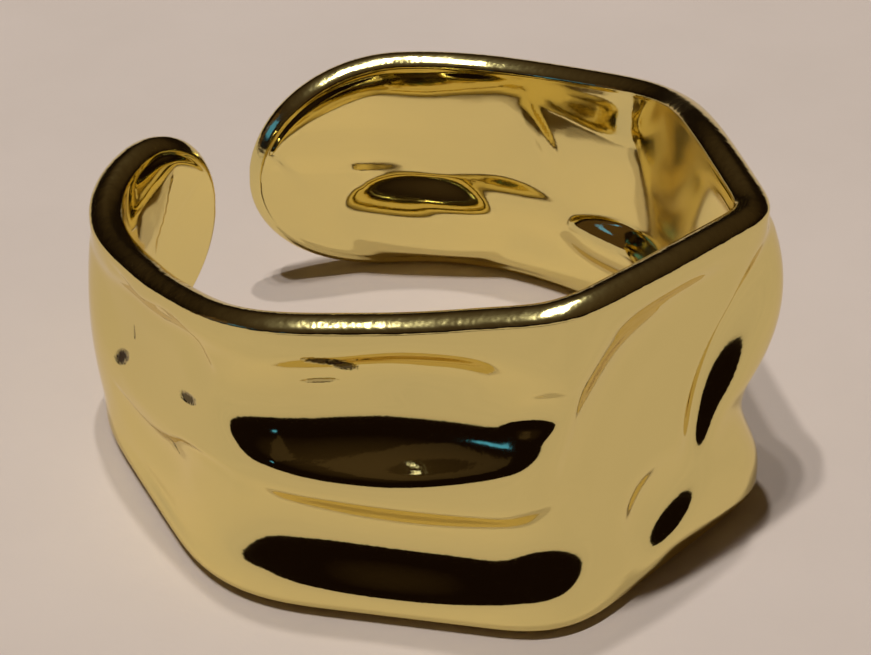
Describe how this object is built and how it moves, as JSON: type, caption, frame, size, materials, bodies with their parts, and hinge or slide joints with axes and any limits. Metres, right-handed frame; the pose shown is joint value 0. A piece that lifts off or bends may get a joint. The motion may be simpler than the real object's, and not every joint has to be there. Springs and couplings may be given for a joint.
{
  "type": "adjustable ring",
  "caption": "Open finger ring: one wide gold-tone strip with rounded tips, bent to a faceted loop with shallow hollows pressed into its outer face.",
  "frame": {"origin": "centre of the ring's bounding box in plan, on the surface that its lower edge rests on", "axes": "+Z along the finger hole, up as the ring lies on its side; +Y toward the opening between the two tips; the widest stretch of the strip faces -Y"},
  "size_m": [0.0188, 0.0198, 0.01],
  "materials": {
    "band": "mirror-polished pale gold plating"
  },
  "bodies": {
    "root": {"band": "band"}
  },
  "joints": []
}
